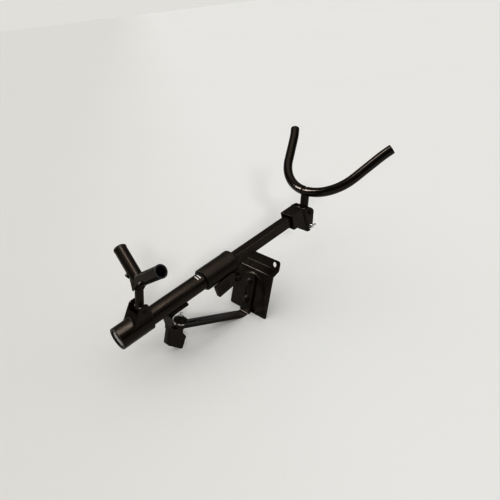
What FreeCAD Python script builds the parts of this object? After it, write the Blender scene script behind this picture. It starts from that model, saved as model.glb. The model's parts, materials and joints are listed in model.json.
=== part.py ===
import FreeCAD, Part
import math
import os

os.makedirs("parts", exist_ok=True)
Vec = FreeCAD.Vector

# ---------------------------------------------------------------- driving dimensions, mm
# Wall plane is y = 0, the line through the two wall holes is z = 0, the rack points to -Y.
PLATE_W = 100.0          # wall plate width
PLATE_H = 86.6           # height of the raised main face
SHEET = 3.0              # folded steel sheet
FLANGE_H = 17.6          # screw flange along the top
STEP_H = 10.7            # height of the joggle between flange and main face
STEP_D = 12.5            # how far the joggle stands the main face off the flange
WALL_HOLE_R = 5.5
WALL_HOLE_PITCH = 75.0
BOSS_R = 38.0            # pressed round boss in the middle of the plate
BOSS_H = 3.0
BOSS_SLOPE = 5.0         # width of the boss's sloping edge
LIP_HALF = 34.0          # the lip along the bottom is narrower than the plate
CORNER_R = 4.0           # lower corners of the main face
BOLT_R = 4.0             # M8 hardware
BOLT_GAP = 0.1
STRUT_BOLT_PITCH = 36.0

STRUT_W = 25.6           # flat bar bent into an L
STRUT_T = 5.0
STRUT_TOP = 35.5         # upright leg above the boss centre
STRUT_DROP = 46.3        # top face of the horizontal leg below the boss centre
SWIVEL_REACH = 180.5     # swivel bolt from the wall
STRUT_BEND_R = 4.0

BEAM_TILT = 28.1         # beam rises towards its sliding end, degrees
BEAM_START_Y = -306.0    # centre of the beam's lower end
BEAM_START_Z = -118.3
TUBE_R = 15.9            # 32 mm round tube
TUBE_WALL = 1.6
TUBE_END = 250.0
COLLAR_R = 20.2
COLLAR_WALL = 2.3
COLLAR_LEN = 63.0
PLUG_DEPTH = 0.9
PLUG_T = 7.5

EAR_X = 17.0             # outer face of the cradle ears
EAR_T = 3.0
V_PIVOT = (55.2, 27.3)   # along the beam, above its axis
V_PIN_R = 3.0
V_NODE = (-278.4, -19.2)  # y, z where the two short arms meet
V_TIP = (60.0, -282.0, 17.2)
V_ARM_R = 11.2
V_ARM_WALL = 1.6
V_POST_R = 7.3

SLEEVE_START = 184.0
SLEEVE_END = 257.0
SLEEVE_R = 20.6
CLAMP_BOLT = (246.0, -26.0)
CLAMP_HALF = 12.0
LEVER_PIN_X = 19.6
RAIL_HALF = 9.8
WEB_HALF = 13.0
RAIL_TOP_END = 138.5
CHANNEL_HALF = 7.4       # lower part of the swivel bracket
CHANNEL_R = 4.0
BRACKET_T = 2.2
SWIVEL_BOLT_R = 3.0      # M6

SQ = 19.0                # sliding square tube
SQ_WALL = 1.5
SQ_START = 150.0
SQ_END = 440.0
SOCKET = 32.0
SOCKET_WALL = 2.4
SOCKET_START = 408.5
SOCKET_R = 1.8
CLEVIS_X = 19.0
U_PIVOT = (456.0, 1.0)
CLEVIS_LOW = -37.0
CLEVIS_FOLD = 4.2
WING_BOLT = (449.0, -27.0)
WING_R = 3.0
U_BASE = (90.5, 135.9)   # y, z of the lowest point of the U's centre line
U_PLANE = 55.5           # lean of the U's plane from horizontal, degrees
U_BEND_R = 97.0
U_BEND_ANGLE = 65.5
U_ARM = 54.0             # straight part of each arm
U_FLARE_R = 200.0        # the arms bend back outwards at their ends
U_FLARE_ANGLE = 9.5
U_ROD_R = 7.0
U_POST_R = 8.2
U_SLEEVE_R = 9.3
U_GAP = 5.2              # bare rod each side of the weld

KNOB_LIFT = 4.2          # underside of the knob above the bar
KNOB_H = 9.4
KNOB_LOBES = 8

# ---------------------------------------------------------------- worked-out values
FACE_Y = -(STEP_D + SHEET)
BOSS_Z = -(FLANGE_H / 2.0 + STEP_H + PLATE_H / 2.0)
BOSS_Y = FACE_Y - BOSS_H
STRUT_Y = BOSS_Y - STRUT_T
LEG_TOP = BOSS_Z - STRUT_DROP
LEG_LOW = LEG_TOP - STRUT_T
AXIS_Y = -SWIVEL_REACH
TILT = math.radians(BEAM_TILT)
BEAM = FreeCAD.Placement(Vec(0, BEAM_START_Y, BEAM_START_Z), FreeCAD.Rotation(Vec(1, 0, 0), BEAM_TILT))
SQ_HALF = SQ / 2.0


# ---------------------------------------------------------------- helpers
def box(x0, x1, y0, y1, z0, z1):
    return Part.makeBox(x1 - x0, y1 - y0, z1 - z0, Vec(x0, y0, z0))


def cyl(r, p0, p1):
    a = Vec(*p0)
    d = Vec(*p1) - a
    return Part.makeCylinder(r, d.Length, a, d)


def cone(r0, r1, p0, p1):
    a = Vec(*p0)
    d = Vec(*p1) - a
    return Part.makeCone(r0, r1, d.Length, a, d)


def hexagon(across, p0, p1):
    """Hex prism from p0 to p1, its axis along X, Y or Z."""
    a = Vec(*p0)
    d = Vec(*p1) - a
    r = across / math.sqrt(3.0)
    pts = [Vec(r * math.cos(math.radians(60 * i)), r * math.sin(math.radians(60 * i)), 0) for i in range(7)]
    solid = Part.Face(Part.makePolygon(pts)).extrude(Vec(0, 0, d.Length))
    rim = cone(r * 1.02, r * 1.02 - d.Length * 0.02, (0, 0, 0), (0, 0, d.Length))
    solid = solid.common(rim)
    solid.Placement = FreeCAD.Placement(a, FreeCAD.Rotation(Vec(0, 0, 1), d))
    return solid


def slab(points, x0, x1, radii=0.0):
    """Plate with its outline in the YZ plane, from x0 to x1, its corners rounded."""
    if not isinstance(radii, (list, tuple)):
        radii = [radii] * len(points)
    edges = closed_outline(points, radii)
    face = Part.Face(Part.Wire(edges))
    solid = face.extrude(Vec(x1 - x0, 0, 0))
    solid.translate(Vec(x0, 0, 0))
    return solid


def corner(before, here, after, r):
    """Tangent points and middle of the arc that rounds one corner."""
    p = Vec(0, here[0], here[1])
    a = (Vec(0, before[0], before[1]) - p).normalize()
    b = (Vec(0, after[0], after[1]) - p).normalize()
    half = math.acos(max(-1.0, min(1.0, a.dot(b)))) / 2.0
    run = r / math.tan(half)
    mid = (a + b).normalize()
    centre = p + mid * (r / math.sin(half))
    return p + a * run, centre - mid * r, p + b * run


def closed_outline(points, radii):
    n = len(points)
    arcs = []
    for i in range(n):
        if radii[i] > 0:
            arcs.append(corner(points[i - 1], points[i], points[(i + 1) % n], radii[i]))
        else:
            p = Vec(0, points[i][0], points[i][1])
            arcs.append((p, None, p))
    edges = []
    for i in range(n):
        start, mid, end = arcs[i]
        if mid is not None:
            edges.append(Part.Arc(start, mid, end).toShape())
        following = arcs[(i + 1) % n][0]
        if (following - end).Length > 1e-4:
            edges.append(Part.makeLine(end, following))
    return edges


def offset_path(points, t):
    """The same open path moved t to its left."""
    moved = []
    normals = []
    for p, q in zip(points, points[1:]):
        d = Vec(0, q[0] - p[0], q[1] - p[1]).normalize()
        normals.append(Vec(0, -d.z, d.y))
    for i, p in enumerate(points):
        if i == 0:
            n = normals[0] * t
        elif i == len(points) - 1:
            n = normals[-1] * t
        else:
            mid = (normals[i - 1] + normals[i]).normalize()
            n = mid * (t / mid.dot(normals[i]))
        moved.append((p[0] + n.y, p[1] + n.z))
    return moved


def bent_sheet(points, bends, t, x0, x1):
    """Sheet of thickness t to the left of the path, bent at its inner points."""
    other = offset_path(points, t)
    radii = [0.0]
    other_radii = [0.0]
    for i in range(1, len(points) - 1):
        a = Vec(0, points[i][0] - points[i - 1][0], points[i][1] - points[i - 1][1])
        b = Vec(0, points[i + 1][0] - points[i][0], points[i + 1][1] - points[i][1])
        left = a.y * b.z - a.z * b.y > 0
        radii.append(bends[i - 1] + (t if left else 0.0))
        other_radii.append(bends[i - 1] + (0.0 if left else t))
    radii.append(0.0)
    other_radii.append(0.0)
    return slab(points + other[::-1], x0, x1, radii + other_radii[::-1])


def edges_at(shape, test):
    return [e for e in shape.Edges if test(e)]


def fillet(shape, r, test):
    chosen = edges_at(shape, test)
    if not chosen:
        raise ValueError("no edge to round")
    return shape.makeFillet(r, chosen)


def along(edge, axis):
    if len(edge.Vertexes) != 2:
        return False
    d = edge.Vertexes[1].Point - edge.Vertexes[0].Point
    return d.Length > 1e-6 and abs(abs(d.normalize().dot(axis)) - 1.0) < 1e-6


def mirror_x(shape):
    return shape.mirror(Vec(0, 0, 0), Vec(1, 0, 0))


def in_beam(shape):
    moved = shape.copy()
    moved.Placement = BEAM.multiply(moved.Placement)
    return moved


def beam_point(s, v, x=0.0):
    return BEAM.multVec(Vec(x, s, v))


def revolve_y(profile):
    """Ring about the local Y axis from (y, r) points."""
    pts = [Vec(r, y, 0) for y, r in profile]
    pts.append(pts[0])
    return Part.Face(Part.makePolygon(pts)).revolve(Vec(0, 0, 0), Vec(0, 1, 0), 360)


def square_bar(half, y0, y1, r):
    bar = box(-half, half, y0, y1, -half, half)
    return fillet(bar, r, lambda e: along(e, Vec(0, 1, 0)))


def save(name, shape):
    if shape.ShapeType == "Compound" and len(shape.Solids) == 1:
        shape = shape.Solids[0]
    for solid in shape.Solids:
        if not solid.isValid() or solid.Volume <= 0:
            raise ValueError(name + " has a bad solid")
    shape.exportStep("parts/" + name + ".step")
    bb = shape.BoundBox
    print("%-18s %d solids  %.1f cm3  x %.1f..%.1f y %.1f..%.1f z %.1f..%.1f" % (
        name, len(shape.Solids), shape.Volume / 1000.0,
        bb.XMin, bb.XMax, bb.YMin, bb.YMax, bb.ZMin, bb.ZMax))


# ---------------------------------------------------------------- wall bracket
def wall_plate():
    top = FLANGE_H / 2.0
    low = BOSS_Z - PLATE_H / 2.0
    front = [
        (0.0, low),
        (FACE_Y, low),
        (FACE_Y, BOSS_Z + PLATE_H / 2.0),
        (-SHEET, -top),
        (-SHEET, top),
    ]
    plate = bent_sheet(front, [1.5, 3.0, 3.0], -SHEET, -PLATE_W / 2.0, PLATE_W / 2.0)
    boss = cone(BOSS_R, BOSS_R - BOSS_SLOPE, (0, FACE_Y, BOSS_Z), (0, BOSS_Y, BOSS_Z))
    pocket = cone(BOSS_R, BOSS_R - BOSS_SLOPE, (0, FACE_Y + SHEET, BOSS_Z), (0, FACE_Y, BOSS_Z))
    plate = plate.fuse(boss).removeSplitter().cut(pocket)
    for side in (-1, 1):
        edge = side * PLATE_W / 2.0
        lip = sorted((side * LIP_HALF, edge + side))
        plate = plate.cut(box(lip[0], lip[1], FACE_Y + SHEET, 1, low - 1, low + 6))
        x = edge - side * CORNER_R
        sliver = sorted((x, edge + side))
        corner_cut = box(sliver[0], sliver[1], FACE_Y - 1, FACE_Y + SHEET + 1, low - 1, low + CORNER_R)
        corner_cut = corner_cut.cut(cyl(CORNER_R, (x, FACE_Y - 2, low + CORNER_R), (x, 0, low + CORNER_R)))
        plate = plate.cut(corner_cut)
        x = side * WALL_HOLE_PITCH / 2.0
        plate = plate.cut(cyl(WALL_HOLE_R, (x, -20, 0), (x, 5, 0)))
        z = BOSS_Z + side * STRUT_BOLT_PITCH / 2.0
        plate = plate.cut(cyl(BOLT_R + BOLT_GAP, (0, -40, z), (0, 5, z)))

    def top_corner(e):
        c = e.CenterOfMass
        return along(e, Vec(0, 1, 0)) and c.z > top - 0.1 and abs(c.x) > PLATE_W / 2.0 - 0.1

    return fillet(plate, 6.0, top_corner)


def strut_bar():
    path = [
        (STRUT_Y, BOSS_Z + STRUT_TOP),
        (STRUT_Y, LEG_TOP),
        (AXIS_Y - STRUT_W / 2.0, LEG_TOP),
    ]
    bar = bent_sheet(path, [STRUT_BEND_R], STRUT_T, -STRUT_W / 2.0, STRUT_W / 2.0)
    round_r = STRUT_W / 2.0 - 0.1

    def top_edge(e):
        return along(e, Vec(0, 1, 0)) and e.CenterOfMass.z > BOSS_Z + STRUT_TOP - 0.1

    def end_edge(e):
        return along(e, Vec(0, 0, 1)) and e.CenterOfMass.y < AXIS_Y - STRUT_W / 2.0 + 0.1

    bar = fillet(bar, round_r, top_edge)
    bar = fillet(bar, round_r, end_edge)
    for side in (-1, 1):
        z = BOSS_Z + side * STRUT_BOLT_PITCH / 2.0
        bar = bar.cut(cyl(BOLT_R + BOLT_GAP, (0, -40, z), (0, 5, z)))
    return bar.cut(cyl(SWIVEL_BOLT_R + 0.05, (0, AXIS_Y, LEG_LOW - 5), (0, AXIS_Y, LEG_TOP + 5)))


def strut_hardware():
    bolts, washers, nuts = [], [], []
    for side in (-1, 1):
        z = BOSS_Z + side * STRUT_BOLT_PITCH / 2.0
        dome = Part.makeSphere(11.0, Vec(0, STRUT_Y + 6.6, z))
        dome = dome.common(cyl(8.0, (0, STRUT_Y - 6, z), (0, STRUT_Y, z)))
        bolt = dome.fuse(cyl(BOLT_R, (0, STRUT_Y, z), (0, -5.0, z))).removeSplitter()
        bolts.append(bolt)
        back = FACE_Y
        ring = cyl(8.0, (0, back, z), (0, back + 1.6, z)).cut(cyl(BOLT_R + 0.2, (0, back - 1, z), (0, back + 3, z)))
        washers.append(ring)
        nut = hexagon(13.0, (0, back + 1.6, z), (0, back + 8.1, z))
        nuts.append(nut.cut(cyl(BOLT_R + 0.02, (0, back, z), (0, back + 10, z))))
    return bolts, washers, nuts


# ---------------------------------------------------------------- swivel
def swivel_bracket():
    """Folded sheet: rail under the tube, web down past the bar's end, flange under the bar, channel below."""
    t = BRACKET_T
    half = CHANNEL_HALF
    web_y = AXIS_Y - 26.0
    low = LEG_LOW - 0.8
    fold = beam_point(98.0, -TUBE_R - t)
    rail = beam_point(RAIL_TOP_END, -TUBE_R - t)
    path = [(rail.y, rail.z), (fold.y, fold.z), (web_y, LEG_TOP + 1.5), (web_y, low)]
    wide = bent_sheet(path, [1.5, 1.5], t, -WEB_HALF, WEB_HALF)
    right = [(RAIL_HALF, 60), (RAIL_HALF, 24), (WEB_HALF, 19), (WEB_HALF, 6), (half, -2), (half, -40)]
    left = [(-x, z) for x, z in reversed(right)]
    sheet = wide.common(slab_y(right + left, -300, -100, LEG_TOP))
    outer = box(-half, half, web_y, AXIS_Y + 30, low - 50, low)
    inner = box(-half + t, half - t, web_y + t, AXIS_Y + 31, low - 51, low + 1)
    outer = fillet(outer, CHANNEL_R, lambda e: along(e, Vec(0, 0, 1)) and e.CenterOfMass.y < AXIS_Y)
    inner = fillet(inner, CHANNEL_R - t, lambda e: along(e, Vec(0, 0, 1)) and e.CenterOfMass.y < AXIS_Y)
    side = slab([
        (web_y, low),
        (AXIS_Y + 3.0, low),
        (AXIS_Y + 4.5, low - 10.0),
        (AXIS_Y + 13.0, low - 18.2),
        (AXIS_Y + 8.2, low - 41.5),
        (web_y, low - 29.0),
    ], -half, half, [0, 0, 2.5, 1.5, 1.5, 5.0])
    channel = outer.cut(inner).common(side)
    flange = box(-half, half, web_y + 0.5, AXIS_Y, low - t, low)
    flange = flange.fuse(cyl(9.5, (0, AXIS_Y, low - t), (0, AXIS_Y, low)))
    body = sheet.fuse([channel, flange]).removeSplitter()
    body = body.cut(in_beam(cyl(TUBE_R + 0.01, (0, 50, 0), (0, 200, 0))))
    return body.cut(cyl(SWIVEL_BOLT_R + 0.05, (0, AXIS_Y, low - 5), (0, AXIS_Y, low + 5)))


def slab_y(points, y0, y1, z_shift):
    """Plate with its outline in the XZ plane, from y0 to y1."""
    pts = [Vec(x, y0, z + z_shift) for x, z in points]
    pts.append(pts[0])
    return Part.Face(Part.makePolygon(pts)).extrude(Vec(0, y1 - y0, 0))


def swivel_hardware():
    under = LEG_LOW - 0.8
    head_top = under - BRACKET_T
    bolt = hexagon(10.0, (0, AXIS_Y, head_top - 4.0), (0, AXIS_Y, head_top))
    bolt.rotate(Vec(0, AXIS_Y, 0), Vec(0, 0, 1), 30)
    tip = LEG_TOP + KNOB_LIFT + KNOB_H + 7.5
    shank = cyl(SWIVEL_BOLT_R, (0, AXIS_Y, head_top), (0, AXIS_Y, tip))
    shank = shank.makeChamfer(0.6, edges_at(shank, lambda e: e.CenterOfMass.z > tip - 0.1))
    bolt = bolt.fuse(shank).removeSplitter()
    liner = cyl(9.5, (0, AXIS_Y, under), (0, AXIS_Y, under + 0.6))
    liner = liner.cut(cyl(SWIVEL_BOLT_R + 0.1, (0, AXIS_Y, under - 1), (0, AXIS_Y, under + 2)))
    washer = cyl(10.6, (0, AXIS_Y, LEG_TOP), (0, AXIS_Y, LEG_TOP + 2.8))
    washer = fillet(washer, 0.8, lambda e: e.CenterOfMass.z > LEG_TOP + 2.7)
    washer = washer.cut(cyl(SWIVEL_BOLT_R + 0.3, (0, AXIS_Y, LEG_TOP - 1), (0, AXIS_Y, LEG_TOP + 4)))
    return bolt, liner, washer


def star_knob():
    z0 = LEG_TOP + KNOB_LIFT
    top = z0 + KNOB_H
    body = cyl(9.4, (0, AXIS_Y, z0), (0, AXIS_Y, top))
    for i in range(KNOB_LOBES):
        a = 2 * math.pi * (i + 0.5) / KNOB_LOBES
        x = 9.9 * math.cos(a)
        y = AXIS_Y + 9.9 * math.sin(a)
        body = body.fuse(cyl(2.9, (x, y, z0), (x, y, top)))
    body = body.removeSplitter()
    dome = Part.makeSphere(20.0, Vec(0, AXIS_Y, top + 0.3 - 20.0))
    body = body.common(dome)
    hub = cyl(7.0, (0, AXIS_Y, z0 - 1.1), (0, AXIS_Y, z0 + 0.2))
    crown = cone(6.2, 5.2, (0, AXIS_Y, top - 2.0), (0, AXIS_Y, top + 1.6))
    body = body.fuse([hub, crown]).removeSplitter()
    core = cyl(4.6, (0, AXIS_Y, z0 - 1.1), (0, AXIS_Y, top + 1.6))
    bore = cyl(SWIVEL_BOLT_R + 0.05, (0, AXIS_Y, z0 - 3), (0, AXIS_Y, top + 5))
    return body.cut(core), core.cut(bore)


# ---------------------------------------------------------------- beam
def end_collar():
    ring = cyl(COLLAR_R, (0, 0, 0), (0, COLLAR_LEN, 0))
    ring = ring.cut(cyl(COLLAR_R - COLLAR_WALL, (0, -1, 0), (0, COLLAR_LEN + 1, 0)))
    return ring.makeChamfer(0.5, [e for e in ring.Edges if len(e.Vertexes) == 1])


def ears():
    outline = [(24.0, 8.0), (49.5, 38.5), (64.0, 38.5), (66.5, 2.0)]
    near = slab(outline, EAR_X - EAR_T, EAR_X, [0, 3.5, 4.5, 0])
    wedge = slab([(24.0, 8.0), (41.5, 29.0), (44.0, 27.0), (26.6, 6.2)], -EAR_X, EAR_X, 0)
    bracket = near.fuse([mirror_x(near), wedge]).removeSplitter()
    bracket = bracket.cut(cyl(COLLAR_R + 0.01, (0, -5, 0), (0, COLLAR_LEN + 0.01, 0)))
    bracket = bracket.cut(cyl(TUBE_R + 3.0, (0, COLLAR_LEN, 0), (0, 90, 0)))
    s, v = V_PIVOT
    return bracket.cut(cyl(V_PIN_R + 0.02, (-30, s, v), (30, s, v)))


def v_pin():
    s, v = V_PIVOT
    pin = cyl(V_PIN_R, (-EAR_X, s, v), (EAR_X, s, v))
    for side in (-1, 1):
        head = cone(4.4, 3.0, (side * EAR_X, s, v), (side * (EAR_X + 1.8), s, v))
        pin = pin.fuse(head)
    return pin.removeSplitter()


def clamp_sleeve():
    profile = [
        (SLEEVE_START, TUBE_R + 0.03),
        (SLEEVE_START, SLEEVE_R - 1.6),
        (SLEEVE_START + 0.5, SLEEVE_R - 0.6),
        (SLEEVE_START + 1.6, SLEEVE_R),
        (SLEEVE_END - 13.0, SLEEVE_R),
        (SLEEVE_END - 11.8, SLEEVE_R + 0.5),
        (SLEEVE_END - 2.5, SLEEVE_R + 0.5),
        (SLEEVE_END - 0.6, SLEEVE_R - 0.8),
        (SLEEVE_END, SLEEVE_R - 2.4),
        (SLEEVE_END, 14.6),
        (TUBE_END + 0.2, 14.6),
        (TUBE_END + 0.2, TUBE_R + 0.03),
    ]
    return revolve_y(profile)


def clamp_block():
    """Two lugs under the sleeve's upper end, and a cheek each side of the square tube."""
    s, v = CLAMP_BOLT
    lug = slab([(s - 7.5, -14.0), (268.0, -14.0), (268.0, -36.0), (262.0, -41.0), (s - 7.5, -37.0)],
               1.0, CLAMP_HALF, [0, 0, 4.0, 4.0, 5.0])
    cheek = slab([(SLEEVE_END + 0.2, 8.5), (264.0, 7.0), (268.0, -2.0), (268.0, -20.0),
                  (SLEEVE_END + 0.2, -20.0)], SQ_HALF + 0.7, CLAMP_HALF + 1.6, [2.5, 4.0, 2.0, 0, 0])
    lug = lug.cut(box(-SQ_HALF - 0.7, SQ_HALF + 0.7, 200, 300, -SQ_HALF - 0.7, SQ_HALF + 0.7))
    one = lug.fuse(cheek).removeSplitter()
    one = one.cut(cyl(SLEEVE_R + 0.92, (0, 200, 0), (0, SLEEVE_END + 0.05, 0)))
    one = one.cut(cyl(BOLT_R - 1.0 + 0.05, (-30, s, v), (30, s, v)))
    one = one.cut(cyl(2.05, (0, 262.5, -6.0), (30, 262.5, -6.0)))
    return [one, mirror_x(one)]


def clamp_hardware():
    s, v = CLAMP_BOLT
    eye = cyl(5.2, (LEVER_PIN_X, s, v - 3.4), (LEVER_PIN_X, s, v + 3.4))
    bolt = cyl(BOLT_R - 1.0, (-CLAMP_HALF - 6.6, s, v), (LEVER_PIN_X, s, v)).fuse(eye).removeSplitter()
    bolt = bolt.cut(cyl(2.03, (LEVER_PIN_X, s, v - 10), (LEVER_PIN_X, s, v + 10)))
    nut = hexagon(10.0, (-CLAMP_HALF - 5.6, s, v), (-CLAMP_HALF - 0.8, s, v))
    nut = nut.cut(cyl(BOLT_R - 1.0 + 0.02, (-30, s, v), (0, s, v)))
    washers = []
    for x0, x1 in ((-CLAMP_HALF - 0.8, -CLAMP_HALF), (CLAMP_HALF, CLAMP_HALF + 0.8)):
        ring = cyl(6.5, (x0, s, v), (x1, s, v)).cut(cyl(BOLT_R - 0.8, (-30, s, v), (30, s, v)))
        washers.append(ring)
    screws = []
    for side in (-1, 1):
        x = side * (CLAMP_HALF + 1.6)
        head = cone(3.8, 2.8, (x, 262.5, -6.0), (x + side * 2.2, 262.5, -6.0))
        screws.append(head.fuse(cyl(2.0, (x, 262.5, -6.0), (side * (SQ_HALF + 0.5), 262.5, -6.0))))
    return bolt, nut, washers, screws


def cam_lever():
    s, v = CLAMP_BOLT
    blade = slab([
        (194.0, -12.5),
        (215.0, -9.5),
        (236.0, -8.0),
        (s - 1.0, -15.0),
        (s - 1.0, -32.0),
        (232.0, -34.5),
        (196.0, -38.0),
    ], LEVER_PIN_X - 3.6, LEVER_PIN_X + 2.6, [2.0, 0, 6.0, 3.0, 3.0, 0, 2.5])
    blade = blade.cut(cyl(SLEEVE_R + 1.3, (0, 150, 0), (0, SLEEVE_END + 5, 0)))
    hub = cyl(6.4, (LEVER_PIN_X, s, v - 9.5), (LEVER_PIN_X, s, v + 8.0))
    lever = blade.fuse(hub).removeSplitter()
    lever = lever.cut(cyl(6.0, (LEVER_PIN_X, s, v - 3.7), (LEVER_PIN_X, s, v + 3.7)))
    gap = box(LEVER_PIN_X - 8, LEVER_PIN_X + 1, s - 7.0, s + 8, v - 3.7, v + 3.7)
    swing = cyl(8.2, (LEVER_PIN_X, s, v - 3.7), (LEVER_PIN_X, s, v + 3.7))
    lever = lever.cut(gap).cut(swing.common(box(0, 60, s - 9, s + 9, v - 4, v + 4)))
    lever = lever.cut(cyl(2.05, (LEVER_PIN_X, s, v - 12), (LEVER_PIN_X, s, v + 12)))
    rib = slab([(200.0, -17.0), (226.0, -14.5), (226.0, -30.0), (200.0, -33.0)],
               LEVER_PIN_X + 2.0, LEVER_PIN_X + 3.2, 3.0)
    rib = rib.cut(slab([(202.0, -18.8), (224.0, -16.5), (224.0, -28.2), (202.0, -31.0)],
                       LEVER_PIN_X + 1.0, LEVER_PIN_X + 4.0, 2.0))
    pin = cyl(2.0, (LEVER_PIN_X, s, v - 9.4), (LEVER_PIN_X, s, v + 7.9))
    return lever.fuse(rib).removeSplitter(), pin


def guide_bush():
    bush = cyl(14.25, (0, 214, 0), (0, SLEEVE_END - 0.6, 0))
    return bush.cut(box(-SQ_HALF - 0.08, SQ_HALF + 0.08, 200, 300, -SQ_HALF - 0.08, SQ_HALF + 0.08))


# ---------------------------------------------------------------- sliding end
def square_tube():
    outer = square_bar(SQ_HALF, SQ_START, SQ_END, 2.2)
    inner = square_bar(SQ_HALF - SQ_WALL, SQ_START - 1, SQ_END + 1, 0.8)
    return outer.cut(inner)


def slide_foot():
    foot = cyl(13.9, (0, SQ_START - 6, 0), (0, SQ_START, 0))
    foot = foot.makeChamfer(0.8, [e for e in foot.Edges if len(e.Vertexes) == 1])
    spigot = square_bar(SQ_HALF - SQ_WALL - 0.05, SQ_START - 1, SQ_START + 14, 1.0)
    return foot.fuse(spigot).removeSplitter()


def u_socket():
    half = SOCKET / 2.0
    outer = square_bar(half, SOCKET_START, SQ_END, SOCKET_R)
    inner = square_bar(half - SOCKET_WALL, SOCKET_START - 1, SQ_END + 1, 0.8)
    bush = square_bar(half - SOCKET_WALL - 0.03, SOCKET_START + 7, SQ_END, 0.8)
    bush = bush.cut(square_bar(SQ_HALF + 0.03, SOCKET_START, SQ_END + 1, 2.2))
    return outer.cut(inner), bush


def clevis_bracket():
    """Channel folded round the end of the socket: web across the beam, an ear on each side."""
    t = SHEET
    top = 14.5
    outer = box(-CLEVIS_X, CLEVIS_X, SQ_END, 480, CLEVIS_LOW, top)
    inner = box(-CLEVIS_X + t, CLEVIS_X - t, SQ_END + t, 481, CLEVIS_LOW - 1, top + 1)
    outer = fillet(outer, CLEVIS_FOLD, lambda e: along(e, Vec(0, 0, 1)) and e.CenterOfMass.y < 460)
    inner = fillet(inner, CLEVIS_FOLD - t, lambda e: along(e, Vec(0, 0, 1)) and e.CenterOfMass.y < 460)
    side = slab([(SQ_END, top), (457.0, 11.5), (465.5, 2.0), (457.0, -25.0), (453.0, -33.0),
                 (446.0, CLEVIS_LOW), (SQ_END, CLEVIS_LOW)], -CLEVIS_X, CLEVIS_X,
                [0, 5.0, 6.0, 4.0, 4.0, 2.0, 0])
    body = outer.cut(inner).common(side)
    body = body.cut(cyl(BOLT_R + 0.05, (-30, U_PIVOT[0], U_PIVOT[1]), (30, U_PIVOT[0], U_PIVOT[1])))
    return body.cut(cyl(WING_R + 0.05, (-30, WING_BOLT[0], WING_BOLT[1]), (30, WING_BOLT[0], WING_BOLT[1])))


def clevis_hardware():
    s, v = U_PIVOT
    head = cone(5.8, 5.0, (CLEVIS_X, s, v), (CLEVIS_X + 3.6, s, v))
    bolt = head.fuse(cyl(BOLT_R, (CLEVIS_X, s, v), (-CLEVIS_X - 7.0, s, v))).removeSplitter()
    nut = hexagon(13.0, (-CLEVIS_X - 6.2, s, v), (-CLEVIS_X, s, v))
    nut = nut.cut(cyl(BOLT_R + 0.02, (-40, s, v), (0, s, v)))
    s, v = WING_BOLT
    wing_bolt = hexagon(10.0, (-CLEVIS_X - 4.0, s, v), (-CLEVIS_X, s, v))
    wing_bolt = wing_bolt.fuse(cyl(WING_R, (-CLEVIS_X, s, v), (CLEVIS_X + 7.4, s, v))).removeSplitter()
    spacer = cyl(4.2, (-CLEVIS_X + SHEET, s, v), (CLEVIS_X - SHEET, s, v))
    spacer = spacer.cut(cyl(WING_R + 0.1, (-30, s, v), (30, s, v)))
    return bolt, nut, wing_bolt, spacer


def wing_nut():
    s, v = WING_BOLT
    x0 = CLEVIS_X + 0.3
    hub = cone(5.0, 4.0, (x0, s, v), (x0 + 4.8, s, v))
    nut = hub
    for side in (-1, 1):
        wing = slab_sx([(x0 + 1.0, 0.0), (x0 + 5.5, 4.5), (x0 + 8.0, 7.5), (x0 + 6.8, 10.0),
                        (x0 + 3.5, 8.5), (x0 + 1.0, 4.5)], -1.2, 1.2)
        wing = wing.rotate(Vec(0, 0, 0), Vec(1, 0, 0), 0 if side > 0 else 180)
        nut = nut.fuse(moved_to(wing, s, v))
    nut = nut.fuse(hub).removeSplitter()
    return nut.cut(cyl(WING_R + 0.05, (0, s, v), (60, s, v)))


def slab_sx(points, z0, z1):
    """Plate with its outline in the XY plane, from z0 to z1."""
    pts = [Vec(x, y, z0) for x, y in points]
    pts.append(pts[0])
    return Part.Face(Part.makePolygon(pts)).extrude(Vec(0, 0, z1 - z0))


def moved_to(shape, s, v):
    out = shape.copy()
    out.translate(Vec(0, s, v))
    return out


# ---------------------------------------------------------------- U cradle
def u_frame():
    a = math.radians(U_PLANE)
    base = Vec(0, U_BASE[0], U_BASE[1])
    up = Vec(0, math.cos(a), math.sin(a))
    return base, up


def u_point(x, h):
    """Point in the U's plane, x to the right and h up from its lowest point."""
    base, up = u_frame()
    return base + Vec(x, 0, 0) + up * h


def turn(shape_face, centre, toward, away, angle):
    """Sweeps a face round centre, in the plane through the two points, from the first towards the second."""
    return shape_face.revolve(centre, (toward - centre).cross(away - centre), angle)


def u_side(r, start_angle, cut_back):
    """Right-hand half of the U: bend, straight arm, and the flare at its end, less cut_back degrees of it."""
    bend = math.radians(U_BEND_ANGLE)
    first = math.radians(start_angle)
    centre = u_point(0.0, U_BEND_R)
    p0 = u_point(U_BEND_R * math.sin(first), U_BEND_R * (1 - math.cos(first)))
    end_x = U_BEND_R * math.sin(bend)
    end_h = U_BEND_R * (1 - math.cos(bend))
    p1 = u_point(end_x, end_h)
    p2 = u_point(end_x + U_ARM * math.cos(bend), end_h + U_ARM * math.sin(bend))
    heading = (p2 - p1).normalize()
    inward = (centre - p1).normalize()
    flare_centre = p2 - inward * U_FLARE_R
    tangent = (p0 - centre).cross(p1 - centre).cross(p0 - centre)
    disc = Part.Face(Part.Wire(Part.makeCircle(r, p0, tangent)))
    swept = turn(disc, centre, p0, p1, U_BEND_ANGLE - start_angle)
    straight = Part.makeCylinder(r, U_ARM, p1, heading)
    disc = Part.Face(Part.Wire(Part.makeCircle(r, p2, heading)))
    flare = turn(disc, flare_centre, p2, p2 + heading, U_FLARE_ANGLE - cut_back)
    a = math.radians(U_FLARE_ANGLE - cut_back)
    tip = flare_centre + (inward * math.cos(a) + heading * math.sin(a)) * U_FLARE_R
    return swept.fuse([straight, flare]).removeSplitter(), tip


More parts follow.
